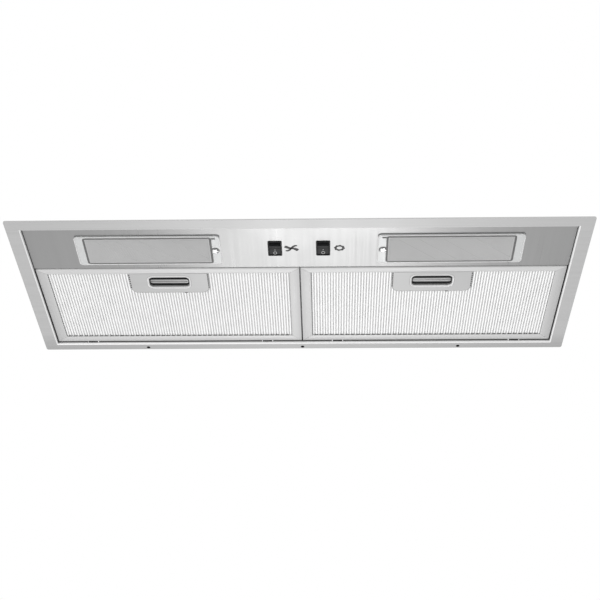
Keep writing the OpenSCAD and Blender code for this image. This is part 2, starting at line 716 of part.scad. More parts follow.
// one forward-curved blade, a thin arc strip in (Y, Z)
module blade() {
  br = 11;
  translate([imp_r - 6.2, -8.8]) intersection() {
    difference() {
      circle(r = br, $fn = 48);
      circle(r = br - 0.8, $fn = 48);
    }
    polygon([[0, 0], [-8, 20], [5.2, 20]]);
  }
}
hub_r = 10;
imp_x0 = scroll_x0 + scroll_t + 3;
module impeller(s) at_blower() mirrored(s) {
  along_x(imp_x0, imp_x0 + imp_w - 1) for (i = [0:blades - 1])
    rotate([0, 0, i*360/blades]) blade();
  ring_x(imp_x0 + imp_w - 2.5, imp_x0 + imp_w, imp_r, imp_r - 4);
  difference() {
    union() {
      rod_x(imp_x0 - 0.5, imp_x0 + 1.5, imp_r);
      rod_x(imp_x0 - 0.5, imp_x0 + 16, hub_r);
    }
    rod_x(imp_x0 - 5, imp_x0 + 20, shaft_r);
  }
}
module impeller_left() color([0.25, 0.25, 0.27]) impeller(-1);
module impeller_right() color([0.25, 0.25, 0.27]) impeller(1);
shaft_x = imp_x0 + 20;
module motor_shaft() color([0.7, 0.7, 0.72]) at_blower()
  rod_x(-shaft_x, shaft_x, shaft_r - 0.02);
module rotor() color([0.5, 0.5, 0.52]) at_blower() ring_x(-14, 14, 18, shaft_r);
module motor_can() color([0.6, 0.6, 0.62]) at_blower()
  ring_x(-can_x, can_x, can_r, can_r - can_t);
module motor_endcap() color([0.62, 0.62, 0.64]) at_blower() for (s = [-1, 1]) mirrored(s)
  difference() {
    union() {
      rod_x(can_x + 0.1, can_x + 1.3, can_r);
      rod_x(can_x + 1, can_x + 8, 13);
      rod_x(can_x - 5, can_x + 0.2, 13);
    }
    rod_x(can_x - 6, can_x + 6.8, 11);
    rod_x(can_x, can_x + 10, shaft_r + 1.5);
    for (i = [0:5]) rotate([i*60, 0, 0]) translate([0, 23.5, 0])
      rod_x(can_x - 1, can_x + 3, 4.5);
  }
module stator_core() color([0.45, 0.45, 0.47]) at_blower()
  ring_x(-14, 14, can_r - can_t - 0.2, 18.5);
module stator_windings() color([0.72, 0.42, 0.2]) at_blower() for (s = [-1, 1]) mirrored(s)
  ring_x(14.1, 24, 29, 20);
module motor_bearings() color([0.72, 0.72, 0.75]) at_blower() for (s = [-1, 1]) mirrored(s)
  ring_x(can_x - 0.2, can_x + 6.7, 10.9, shaft_r + 0.04);
strap_t = 1.5;
arm_y = collar_y0 - 2; // arm of the motor strap, in front of the outlet opening
foot_y0 = collar_y0 - collar_rim - 12;
module bracket_screw_at() {
  for (q = [-1, 1]) translate([q*14, collar_y0 - collar_rim - 6, 0]) children();
}
// strap round the motor with an arm up to a foot under the box top
module motor_bracket() color([0.65, 0.66, 0.68]) difference() {
  z1 = box_top - t - gap;
  strap_r = can_r + 0.1 + strap_t/2;
  union() {
    at_blower() ring_x(-9, 9, can_r + 0.1 + strap_t, can_r + 0.1);
    box3(-20, 20, foot_y0, arm_y, z1 - strap_t, z1);
    box3(-9, 9, arm_y - strap_t, arm_y,
      blow_z + sqrt(strap_r*strap_r - (blow_y - arm_y + strap_t/2)^2), z1);
  }
  bracket_screw_at() translate([0, 0, box_top - 5]) cylinder(r = screw_hole_r, h = 5);
}
module bracket_screws() color([0.7, 0.7, 0.72]) bracket_screw_at()
  translate([0, 0, box_top + 0.02]) screw_down(5);

// ---------- electrics ----------
cap_x = 150;
cap_y = 8;
cap_z0 = tray_h + 4;
module capacitor() color([0.85, 0.85, 0.82]) translate([cap_x, cap_y, cap_z0]) {
  cylinder(r = 14, h = 34);
  for (q = [-1, 1]) translate([q*5 - 0.4, -3, 33.9]) cube([0.8, 6, 7]);
}
module capacitor_clip() color([0.68, 0.69, 0.7]) {
  translate([cap_x, cap_y, 0]) ring_z(15.2, 14.2, cap_z0 + 12, 12);
  box3(cap_x + 14.8, box_w/2 - t - gap, cap_y - 6, cap_y + 6, cap_z0 + 12, cap_z0 + 13);
  box3(box_w/2 - 2*t - gap, box_w/2 - t - gap, cap_y - 6, cap_y + 6, cap_z0 + 12,
    cap_z0 + 26);
}
module terminal_box() color([0.12, 0.12, 0.12]) difference() {
  box3(term_x0, term_x0 + term_w - 2, term_y0, term_y1, term_z0, term_z0 + term_h);
  box3(term_x0 + 2, term_x0 + term_w, term_y0 + 2, term_y1 - 2, term_z0 + 2,
    term_z0 + term_h - 2);
  translate([term_x0 + 5, gland_y, gland_z]) rotate([0, -90, 0])
    cylinder(r = gland_r + 0.2, h = 10);
  translate([grommet_x, term_y0 - 2, lead_z]) rotate([-90, 0, 0])
    cylinder(r = lead_r + 1, h = 6);
}
module terminal_box_cover() color([0.14, 0.14, 0.14]) {
  xc = term_x0 + term_w - 2 + 0.05;
  box3(xc, xc + 2, term_y0, term_y1, term_z0, term_z0 + term_h);
  for (y = [-24, 24]) translate([0, y, term_z0 + term_h/2]) rod_x(xc + 1.9, xc + 4, 3.2);
}
module terminal_block() color([0.9, 0.9, 0.86])
  translate([term_x0 + 2.1, term_y0 + 3, term_z0 + 12]) for (i = [0:2])
    translate([0, i*8, 0]) difference() {
      cube([14, 7.7, 12]);
      translate([-1, 3.8, 6]) rod_x(0, 30, 1.8);
    }
module cable_gland() color([0.1, 0.1, 0.1])
  translate([-box_w/2, gland_y, gland_z]) rotate([0, -90, 0]) difference() {
    union() {
      translate([0, 0, -6]) cylinder(r = gland_r, h = 18);
      translate([0, 0, 0.1]) cylinder(r = 10.4, h = 5, $fn = 6);
      translate([0, 0, 6]) cylinder(r = 9, h = 8, $fn = 12);
      translate([0, 0, -6]) cylinder(r = 10, h = 2.8, $fn = 6);
    }
    translate([0, 0, -10]) cylinder(r = cable_r, h = 40);
  }
// a held lead: round runs joined by ball elbows
module lead(p, r) {
  for (i = [0:len(p) - 2]) {
    a = p[i];
    b = p[i + 1];
    v = b - a;
    l = norm(v);
    translate(a) rotate([0, acos(v[2]/l), atan2(v[1], v[0])]) cylinder(r = r, h = l);
  }
  for (i = [1:len(p) - 2]) translate(p[i]) sphere(r = r + 0.2);
}
run_z = 30;
lead_z = term_z0 + 7;
module wiring_harness() color([0.1, 0.1, 0.1]) {
  lamp_xe = lens_x + hous_w/2 - 12;
  sock_y = lens_yc + 12.6 + gap;
  lead([[-lamp_xe, sock_y, 20], [-lamp_xe, run_y, 20], [-lamp_xe, run_y, run_z],
    [grommet_x, run_y, run_z], [grommet_x, run_y, lead_z],
    [grommet_x, term_y0 + 4, lead_z]], lead_r);
  lead([[grommet_x, run_y, run_z], [lamp_xe, run_y, run_z], [lamp_xe, run_y, 20],
    [lamp_xe, sock_y, 20]], lead_r);
  for (s = [-1, 1]) lead([[s*switch_x, switch_yc + 7, panel_z + 28],
    [s*switch_x, switch_yc + 7, run_z + 5.5], [s*switch_x, run_y, run_z + 5.5],
    [s*switch_x, run_y, run_z]], 1.8);
}

// ---------- outlet ----------
module outlet_collar() color([0.7, 0.71, 0.72]) difference() {
  union() {
    box3(-collar_w/2, collar_w/2, collar_y0, collar_y1, box_top + 0.1, box_top + collar_h);
    box3(-collar_w/2 - collar_rim, collar_w/2 + collar_rim, collar_y0 - collar_rim,
      collar_y1 + 1, box_top + 0.1, box_top + 1.1);
  }
  difference() {
    box3(-collar_w/2 + collar_t, collar_w/2 - collar_t, collar_y0 + collar_t,
      collar_y1 - collar_t, box_top - 1, box_top + collar_h + 1);
    box3(-collar_w, collar_w, collar_y0, collar_y0 + collar_t + 2.5, flap_z - 3,
      flap_z - 2);
  }
  translate([0, flap_y, flap_z]) rod_x(-collar_w, collar_w, flap_pin_r + run);
  translate([0, 0, -2.4]) collar_screw_at() translate([0, 0, box_top])
    cylinder(r = screw_hole_r, h = 5);
}
module check_flap() color([0.6, 0.61, 0.62]) {
  x1 = collar_w/2 - collar_t - 1;
  box3(-x1, x1, collar_y0 + collar_t + 1, flap_y - 1, flap_z - 1.6, flap_z - 1.6 + flap_t);
  box3(-x1, x1, collar_y0 + collar_t + 1, collar_y0 + collar_t + 1 + flap_t, flap_z - 1.6,
    flap_z + 3);
  translate([0, flap_y, flap_z]) {
    rod_x(-x1, x1, 2.6);
    rod_x(-collar_w/2 + 0.1, collar_w/2 - 0.1, flap_pin_r);
  }
}

face_frame();
control_panel();
tray_shell();
motor_box();
partition();
centre_support();
lamp_housing_left();
lamp_housing_right();
lamp_lens_left();
lamp_lens_right();
lamp_socket_left();
lamp_socket_right();
lamp_bulb_left();
lamp_bulb_right();
bulb_bases();
lens_screws();
fan_switch_body();
light_switch_body();
fan_rocker();
light_rocker();
filter_frame_left();
filter_frame_right();
filter_mesh_left();
filter_mesh_right();
filter_media_left();
filter_media_right();
latch_plate_left();
latch_plate_right();
latch_guide_left();
latch_guide_right();
latch_slider_left();
latch_slider_right();
scroll_left();
scroll_right();
scroll_cover_left();
scroll_cover_right();
impeller_left();
impeller_right();
motor_shaft();
rotor();
motor_can();
motor_endcap();
stator_core();
stator_windings();
motor_bracket();
motor_bearings();
capacitor();
capacitor_clip();
terminal_box();
terminal_box_cover();
terminal_block();
cable_gland();
outlet_collar();
check_flap();
spring_clips();
shell_screws();
box_screws();
scroll_screws();
bracket_screws();
wiring_harness();
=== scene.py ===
import bpy
import bmesh
import math
import random
from mathutils import Matrix, Vector


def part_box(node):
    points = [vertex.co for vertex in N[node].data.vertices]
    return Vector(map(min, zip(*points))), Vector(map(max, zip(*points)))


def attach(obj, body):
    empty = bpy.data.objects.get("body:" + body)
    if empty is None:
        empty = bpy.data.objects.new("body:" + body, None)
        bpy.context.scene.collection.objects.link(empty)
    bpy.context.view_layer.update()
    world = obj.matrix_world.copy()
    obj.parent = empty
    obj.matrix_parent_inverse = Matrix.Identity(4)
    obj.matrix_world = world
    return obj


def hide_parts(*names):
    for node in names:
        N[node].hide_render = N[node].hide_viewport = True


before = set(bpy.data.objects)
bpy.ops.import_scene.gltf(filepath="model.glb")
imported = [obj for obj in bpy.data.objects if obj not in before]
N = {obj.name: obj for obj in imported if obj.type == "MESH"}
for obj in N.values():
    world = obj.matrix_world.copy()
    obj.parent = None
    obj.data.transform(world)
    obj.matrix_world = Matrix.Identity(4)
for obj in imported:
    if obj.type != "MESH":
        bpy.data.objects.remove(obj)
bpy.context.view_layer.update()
RND = random.Random(7)

MM = 0.001
# opening in the flange and the screw holes behind it, in the flange's own frame
OPENING_HALF_W, OPENING_HALF_D, OPENING_Y = 0.3565, 0.127, 0.0025
HOLE_PITCH, HOLE_Y = 0.225, 0.1379
# tilt of the rocker faces from level, in degrees
ROCKER_TILT = 11.0

# ---------------------------------------------------------------- materials

class Nodes:
    """Small helper round a node tree."""

    def __init__(self, name):
        self.mat = bpy.data.materials.new(name)
        self.mat.use_nodes = True
        self.t = self.mat.node_tree
        self.bsdf = self.t.nodes["Principled BSDF"]
        self.coord = None

    def new(self, kind, **props):
        n = self.t.nodes.new(kind)
        for k, v in props.items():
            setattr(n, k, v)
        return n

    def link(self, a, b):
        self.t.links.new(a, b)

    def set(self, **values):
        for k, v in values.items():
            self.bsdf.inputs[k.replace("_", " ")].default_value = v

    def obj(self, scale=(1, 1, 1), rot=(0, 0, 0)):
        tc = self.new("ShaderNodeTexCoord")
        mp = self.new("ShaderNodeMapping")
        mp.inputs["Scale"].default_value = scale
        mp.inputs["Rotation"].default_value = rot
        self.link(tc.outputs["Object"], mp.inputs["Vector"])
        return mp.outputs["Vector"]

    def noise(self, vec, scale, detail=4.0, rough=0.6, dist=0.0):
        n = self.new("ShaderNodeTexNoise")
        n.inputs["Scale"].default_value = scale
        n.inputs["Detail"].default_value = detail
        n.inputs["Roughness"].default_value = rough
        n.inputs["Distortion"].default_value = dist
        self.link(vec, n.inputs["Vector"])
        return n.outputs["Fac"]

    def ramp(self, fac, stops):
        r = self.new("ShaderNodeValToRGB")
        e = r.color_ramp.elements
        while len(e) < len(stops):
            e.new(0.5)
        for el, (p, c) in zip(e, stops):
            el.position = p
            el.color = (c, c, c, 1) if isinstance(c, (int, float)) else (*c, 1)
        self.link(fac, r.inputs["Fac"])
        return r.outputs["Color"]

    def remap(self, fac, a, b, c, d, clamp=True):
        m = self.new("ShaderNodeMapRange", clamp=clamp)
        for k, v in zip(("From Min", "From Max", "To Min", "To Max"), (a, b, c, d)):
            m.inputs[k].default_value = v
        self.link(fac, m.inputs["Value"])
        return m.outputs["Result"]

    def math(self, op, a, b=None):
        m = self.new("ShaderNodeMath", operation=op)
        for i, v in enumerate((a, b)):
            if v is None:
                continue
            if isinstance(v, (int, float)):
                m.inputs[i].default_value = v
            else:
                self.link(v, m.inputs[i])
        return m.outputs[0]

    def mix(self, fac, a, b, kind="MIX"):
        m = self.new("ShaderNodeMix", data_type="RGBA", blend_type=kind)
        for i, v in ((0, fac), (6, a), (7, b)):
            s = m.inputs[i]
            if isinstance(v, (int, float)):
                s.default_value = v
            elif isinstance(v, tuple):
                s.default_value = (*v, 1)
            else:
                self.link(v, s)
        return m.outputs[2]

    def bump(self, height, strength=0.2, dist=0.0002, normal=None):
        b = self.new("ShaderNodeBump")
        b.inputs["Strength"].default_value = strength
        b.inputs["Distance"].default_value = dist
        self.link(height, b.inputs["Height"])
        if normal is not None:
            self.link(normal, b.inputs["Normal"])
        return b.outputs["Normal"]


def srgb(v):
    return tuple(((c / 12.92) if c <= 0.04045 else ((c + 0.055) / 1.055) ** 2.4) for c in v)


def brushed(name, tone, rough, along="x", spread=0.05, fine=1.0, metal=1.0, relief=0.12):
    """Brushed sheet: fine streaks along one axis in tone, roughness and bump."""
    m = Nodes(name)
    s = {"x": (6, 900, 900), "y": (900, 6, 900)}[along]
    streak = m.noise(m.obj(tuple(v * fine for v in s)), 1.0, 3.0, 0.55)
    s2 = {"x": (1.5, 160, 160), "y": (160, 1.5, 160)}[along]
    broad = m.noise(m.obj(s2), 1.0, 2.0, 0.5)
    smudge = m.noise(m.obj((1, 1, 1)), 7.0, 3.0, 0.55)
    both = m.math("ADD", m.math("MULTIPLY", streak, 0.6), m.math("MULTIPLY", broad, 0.4))
    lo, hi = tone - spread, tone + spread
    col = m.ramp(both, [(0.3, srgb((lo,) * 3)), (0.7, srgb((hi,) * 3))])
    m.link(col, m.bsdf.inputs["Base Color"])
    r = m.math("ADD", m.remap(both, 0.3, 0.7, rough - 0.04, rough + 0.05),
               m.remap(smudge, 0.35, 0.7, -0.02, 0.04))
    m.link(r, m.bsdf.inputs["Roughness"])
    m.link(m.bump(both, relief, 0.00006), m.bsdf.inputs["Normal"])
    m.set(Metallic=metal)
    return m


def galvanised(name, tone=0.72):
    """Hot-dip sheet: spangle cells in slightly different greys, dull metal."""
    m = Nodes(name)
    v = m.new("ShaderNodeTexVoronoi", feature="F1")
    v.inputs["Scale"].default_value = 210
    v.inputs["Randomness"].default_value = 1.0
    m.link(m.obj((1, 1, 1)), v.inputs["Vector"])
    sep = m.new("ShaderNodeSeparateColor")
    m.link(v.outputs["Color"], sep.inputs["Color"])
    cell = sep.outputs["Red"]
    soft = m.noise(m.obj((1, 1, 1)), 18, 5, 0.6)
    grain = m.noise(m.obj((1, 1, 1)), 900, 2, 0.5)
    f = m.math("ADD", m.math("MULTIPLY", cell, 0.55), m.math("MULTIPLY", soft, 0.45))
    col = m.ramp(f, [(0.2, srgb((tone - 0.045,) * 3)), (0.55, srgb((tone,) * 3)),
                     (0.85, srgb((tone + 0.035, tone + 0.038, tone + 0.042)))])
    m.link(col, m.bsdf.inputs["Base Color"])
    m.link(m.remap(f, 0.2, 0.8, 0.38, 0.56), m.bsdf.inputs["Roughness"])
    m.link(m.bump(m.math("ADD", cell, m.math("MULTIPLY", grain, 0.4)), 0.08, 0.00008),
           m.bsdf.inputs["Normal"])
    m.set(Metallic=0.9)
    return m


def plastic(name, colour, rough=0.35, grain=1400, depth=0.00006, spread=0.25):
    """Moulded plastic with a fine spark texture and faint handling marks."""
    m = Nodes(name)
    g = m.noise(m.obj(), grain, 2, 0.5)
    s = m.noise(m.obj(), 25, 4, 0.6)
    dark = tuple(c * (1 - spread) for c in colour)
    light = tuple(min(1, c * (1 + spread)) for c in colour)
    col = m.ramp(m.math("ADD", m.math("MULTIPLY", g, 0.4), m.math("MULTIPLY", s, 0.6)),
                 [(0.35, srgb(dark)), (0.65, srgb(light))])
    m.link(col, m.bsdf.inputs["Base Color"])
    m.link(m.remap(s, 0.3, 0.7, rough - 0.06, rough + 0.08), m.bsdf.inputs["Roughness"])
    m.link(m.bump(g, 0.25, depth), m.bsdf.inputs["Normal"])
    return m


def plated(name, tone=0.78, rough=0.22, tint=(1, 1, 1), metal=1.0, spread=0.05):
    m = Nodes(name)
    s = m.noise(m.obj(), 60, 5, 0.65)
    g = m.noise(m.obj(), 700, 2, 0.5)
    col = m.ramp(s, [(0.3, srgb(tuple((tone - spread) * t for t in tint))),
                     (0.7, srgb(tuple(min(0.99, tone + spread) * t for t in tint)))])
    m.link(col, m.bsdf.inputs["Base Color"])
    m.link(m.remap(s, 0.3, 0.7, rough - 0.05, rough + 0.12), m.bsdf.inputs["Roughness"])
    m.link(m.bump(g, 0.1, 0.00005), m.bsdf.inputs["Normal"])
    m.set(Metallic=metal)
    return m


def flange_sheet():
    """Brushed flange; painted highlight on the opening's bend, painted shade on rear border, inner wall and
    holes.
    """
    m = brushed("stainless_flange", 0.695, 0.42, "x", 0.02)
    base = m.bsdf.inputs["Base Color"].links[0].from_socket
    sep = m.new("ShaderNodeSeparateXYZ")
    m.link(m.obj(), sep.inputs["Vector"])
    # painted shade: the flange's tone falls to 0.8 towards its rear border (y 0.105 to 0.135 m)
    painted_rear_shade = m.remap(sep.outputs["Y"], 0.105, 0.135, 1.0, 0.8)
    cmb = m.new("ShaderNodeCombineColor")
    for k in range(3):
        m.link(painted_rear_shade, cmb.inputs[k])
    tone = m.mix(1.0, base, cmb.outputs[0], "MULTIPLY")
    # painted shade: the opening's inner wall above z 3.4 mm is blended three quarters of the way to near
    # black
    tone = m.mix(m.remap(sep.outputs["Z"], 0.0034, 0.0046, 0.0, 0.75), tone, (0.05, 0.05, 0.05))
    # painted shade: near black round each screw hole, out to 2.45 mm from its centre and fading by 2.7 mm
    outer = m.math("SUBTRACT", m.math("ABSOLUTE", sep.outputs["X"]), HOLE_PITCH)
    px = m.math("MINIMUM", m.math("ABSOLUTE", sep.outputs["X"]), m.math("ABSOLUTE", outer))
    py = m.math("SUBTRACT", sep.outputs["Y"], HOLE_Y)
    away = m.math("SQRT", m.math("ADD", m.math("MULTIPLY", px, px), m.math("MULTIPLY", py, py)))
    tone = m.mix(m.remap(away, 0.00245, 0.0027, 1.0, 0.0), tone, (0.02, 0.02, 0.02))
    # painted highlight: a pale band with less metal along the bend round the opening, standing for the bend's
    # glint
    dx = m.math("SUBTRACT", m.math("ABSOLUTE", sep.outputs["X"]), OPENING_HALF_W)
    from_mid = m.math("ABSOLUTE", m.math("SUBTRACT", sep.outputs["Y"], OPENING_Y))
    dy = m.math("SUBTRACT", from_mid, OPENING_HALF_D)
    far = m.math("MAXIMUM", dx, dy)
    near = m.math("MULTIPLY", m.remap(far, 0.0008, 0.0016, 1.0, 0.0),
                  m.remap(far, -0.0012, -0.0008, 0.0, 1.0))
    low = m.math("MULTIPLY", near, m.remap(sep.outputs["Z"], 0.0026, 0.0036, 1.0, 0.0))
    m.link(m.mix(low, tone, (0.80, 0.80, 0.80)), m.bsdf.inputs["Base Color"])
    m.link(m.remap(low, 0.0, 1.0, 0.45, 0.15), m.bsdf.inputs["Metallic"])
    return m


M_FLANGE = flange_sheet()
M_PANEL = brushed("stainless_panel", 0.585, 0.3, "y", 0.006, fine=1.3, relief=0.006)
M_GALV = galvanised("galvanised_sheet")
# One rail aluminium brushed along x and along y; the y copy's lower tone (0.725 against 0.765) is painted
# shade on the side rails.
M_FRAME_X = brushed("filter_frame_alu_x", 0.765, 0.45, "x", 0.015, fine=0.7, metal=0.35)
M_SIDE_RAIL_SHADED = brushed("rail_alu_along_y_shaded", 0.725, 0.45, "y", 0.015, fine=0.7, metal=0.35)
M_SHADOW = plastic("cut_edge_shadow", (0.22, 0.22, 0.22), 0.6, spread=0.1)
# painted shade for the lens groove and the screw's recess and ring; also the small dark lens tab
M_SHADOW2 = plastic("painted_groove_shade_and_tab", (0.36, 0.36, 0.36), 0.55, spread=0.08)
# painted shade round the latch plate's edge
M_EDGE_SHADE = plastic("painted_edge_shade", (0.60, 0.60, 0.60), 0.55, spread=0.05)
M_CUT = plastic("prism_cut", (0.71, 0.71, 0.71), 0.5, spread=0.03)
M_SCREW = plated("lens_screw_zinc", 0.97, 0.20, spread=0.02)
M_MESH = plated("expanded_alu", 0.95, 0.42, metal=0.15, spread=0.010)
M_MEDIA = plated("media_alu", 0.78, 0.50, metal=0.1)
M_LATCH = brushed("latch_sheet", 0.68, 0.46, "x", 0.012, fine=0.6, metal=0.70)
# painted highlight: pale band laid on the latch plate's pill bead
M_GLINT_PAINT = plated("painted_highlight_band", 0.93, 0.35, metal=0.3, spread=0.02)
M_GRIP = brushed("latch_bar", 0.6, 0.34, "x", 0.05)
M_PLATED = plated("zinc_plate", 0.80, 0.24)
# black plastic parts, and painted shade on the latch's slide plate
M_BLACK_AND_GAP_SHADE = plastic("black_parts_and_gap_shade", (0.08, 0.08, 0.085), 0.5)
M_SWITCH = plastic("switch_black", (0.10, 0.102, 0.106), 0.38, 2200, 0.00003)
M_SWITCH.bsdf.inputs["Specular IOR Level"].default_value = 0.15
M_WHITE = plastic("white_thermoset", (0.86, 0.86, 0.83), 0.35, spread=0.03)
M_REFLECT = plastic("reflector_paint", (0.86, 0.87, 0.86), 0.30, spread=0.03)
M_CAN = plated("motor_can", 0.66, 0.38)
M_IRON = brushed("laminations", 0.42, 0.45, "y", 0.04)
M_COPPER = plated("copper_winding", 0.80, 0.35, (1.0, 0.62, 0.38))
M_SPRING = plated("spring_steel", 0.50, 0.33, (0.96, 0.98, 1.0))
# painted shade: black for a foam strip that backs the rear screw holes so they read dark
M_HOLE_SHADE_STRIP = plastic("black_strip_hole_shade", (0.04, 0.04, 0.04), 0.9, 500, 0.0002)
M_HOLE_SHADE_STRIP.bsdf.inputs["Specular IOR Level"].default_value = 0.05
M_LEAD = plastic("lead_sleeve", (0.09, 0.09, 0.09), 0.5)
M_MARK_W = plastic("mark_grey", (0.66, 0.66, 0.66), 0.5, spread=0.05)
M_INK = plastic("printed_ink", (0.05, 0.05, 0.05), 0.45, spread=0.1)


def glass(name, colour, rough, clear=1.0):
    m = Nodes(name)
    s = m.noise(m.obj(), 40, 3, 0.5)
    m.link(m.ramp(s, [(0.3, colour), (0.7, tuple(min(1, c * 1.03) for c in colour))]),
           m.bsdf.inputs["Base Color"])
    m.link(m.remap(s, 0.3, 0.7, rough, rough + 0.04), m.bsdf.inputs["Roughness"])
    m.set(IOR=1.49)
    m.bsdf.inputs["Transmission Weight"].default_value = clear
    return m


M_LENS = glass("lens_clear", (0.78, 0.79, 0.79), 0.12, 0.35)
M_LENS_EDGE = glass("lens_edge", (0.80, 0.80, 0.80), 0.10, 0.30)
M_FROST = glass("lens_frosted", (0.53, 0.53, 0.53), 0.35, 0.30)
M_BULB = glass("bulb_glass", (0.96, 0.96, 0.94), 0.03)


def paint(node, mat):
    o = N[node]
    o.data.materials.clear()
    o.data.materials.append(mat.mat)


def both(name):
    return (name + "_left", name + "_right")


table = {
    M_FLANGE: ("face_frame",),
    M_PANEL: ("control_panel",),
    M_GALV: ("tray_shell", "motor_box", "partition", "centre_support", "outlet_collar",
             "motor_bracket", "capacitor_clip", "check_flap"),
    M_REFLECT: both("lamp_housing"),
    M_LENS: both("lamp_lens"),
    M_WHITE: both("lamp_socket") + ("terminal_block", "capacitor"),
    M_BULB: both("lamp_bulb"),
    M_SCREW: ("lens_screws",),
    M_PLATED: ("bulb_bases", "shell_screws", "box_screws",
               "scroll_screws", "bracket_screws", "motor_shaft", "motor_bearings"),
    M_SWITCH: ("fan_switch_body", "light_switch_body", "fan_rocker", "light_rocker"),
    M_FRAME_X: both("filter_frame"),
    M_MESH: both("filter_mesh"),
    M_MEDIA: both("filter_media"),
    M_LATCH: both("latch_plate"),
    M_GRIP: both("latch_slider"),
    M_BLACK_AND_GAP_SHADE: both("latch_guide") + both("scroll") + both("scroll_cover") + both("impeller")
            + ("terminal_box", "terminal_box_cover", "cable_gland"),
    M_CAN: ("motor_can", "motor_endcap"),
    M_IRON: ("rotor", "stator_core"),
    M_COPPER: ("stator_windings",),
    M_SPRING: ("spring_clips",),
    M_LEAD: ("wiring_harness",),
}
for mat, names in table.items():
    for n in names:
        paint(n, mat)


# ---------------------------------------------------------------- geometry helpers
def mesh_object(name, verts, faces, mat, body):
    me = bpy.data.meshes.new(name)
    me.from_pydata(verts, [], faces)
    me.validate()
    me.update()
    o = bpy.data.objects.new(name, me)
    bpy.context.scene.collection.objects.link(o)
    me.materials.append(mat.mat)
    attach(o, body)
    return o


def rr(cx, cy, w, d, r, n=8):
    """Points of a rounded rectangle, anticlockwise seen from above. r may be four radii."""
    rs = r if isinstance(r, (list, tuple)) else (r,) * 4
    pts = []
    for (sx, sy, a0), q in zip(((1, 1, 0), (-1, 1, 90), (-1, -1, 180), (1, -1, 270)), rs):
        for i in range(n + 1):
            a = math.radians(a0 + 90 * i / n)
            pts.append((cx + sx * (w / 2 - q) + q * math.cos(a), cy + sy * (d / 2 - q) + q * math.sin(a)))
    return pts


def loft(rings, close_ends=(False, False)):
    """Verts and faces joining rings of equal length."""
    n = len(rings[0])
    verts = [p for r in rings for p in r]
    faces = []
    for k in range(len(rings) - 1):
        for i in range(n):
            j = (i + 1) % n
            faces.append((k * n + i, k * n + j, (k + 1) * n + j, (k + 1) * n + i))
    if close_ends[0]:
        faces.append(tuple(range(n))[::-1])
    if close_ends[1]:
        faces.append(tuple((len(rings) - 1) * n + i for i in range(n)))
    return verts, faces


def bevel(o, width, segments=2, angle=35):
    m = o.modifiers.new("edge", "BEVEL")
    m.width = width
    m.segments = segments
    m.limit_method = "ANGLE"
    m.angle_limit = math.radians(angle)


def block(name, x0, x1, y0, y1, z0, z1, mat, body, edge=0.0):
    v = [(x, y, z) for z in (z0, z1) for x, y in ((x0, y0), (x1, y0), (x1, y1), (x0, y1))]
    f = [(3, 2, 1, 0), (4, 5, 6, 7), (0, 1, 5, 4), (1, 2, 6, 5), (2, 3, 7, 6), (3, 0, 4, 7)]
    o = mesh_object(name, v, f, mat, body)
    if edge:
        bevel(o, edge)
    return o


def at_z(ring, z):
    return [(x, y, z) for x, y in ring]


def fill(rings, name, mat, body, ends=(True, True), cyclic=False, smooth=0.0):
    v, f = loft(rings, ends)
    if cyclic:
        n = len(rings[0])
        k = (len(rings) - 1) * n
        f += [(k + i, k + (i + 1) % n, (i + 1) % n, i) for i in range(n)]
    o = mesh_object(name, v, f, mat, body)
    bm = bmesh.new()
    bm.from_mesh(o.data)
    bmesh.ops.recalc_face_normals(bm, faces=bm.faces[:])
    bm.to_mesh(o.data)
    bm.free()
    if smooth:
        for q in o.data.polygons:
            q.use_smooth = True
        o.data.set_sharp_from_angle(angle=math.radians(smooth))
    return o


# ---------------------------------------------------------------- filters
COL = 3.75 * MM
PITCH_Y = 3.0 * MM


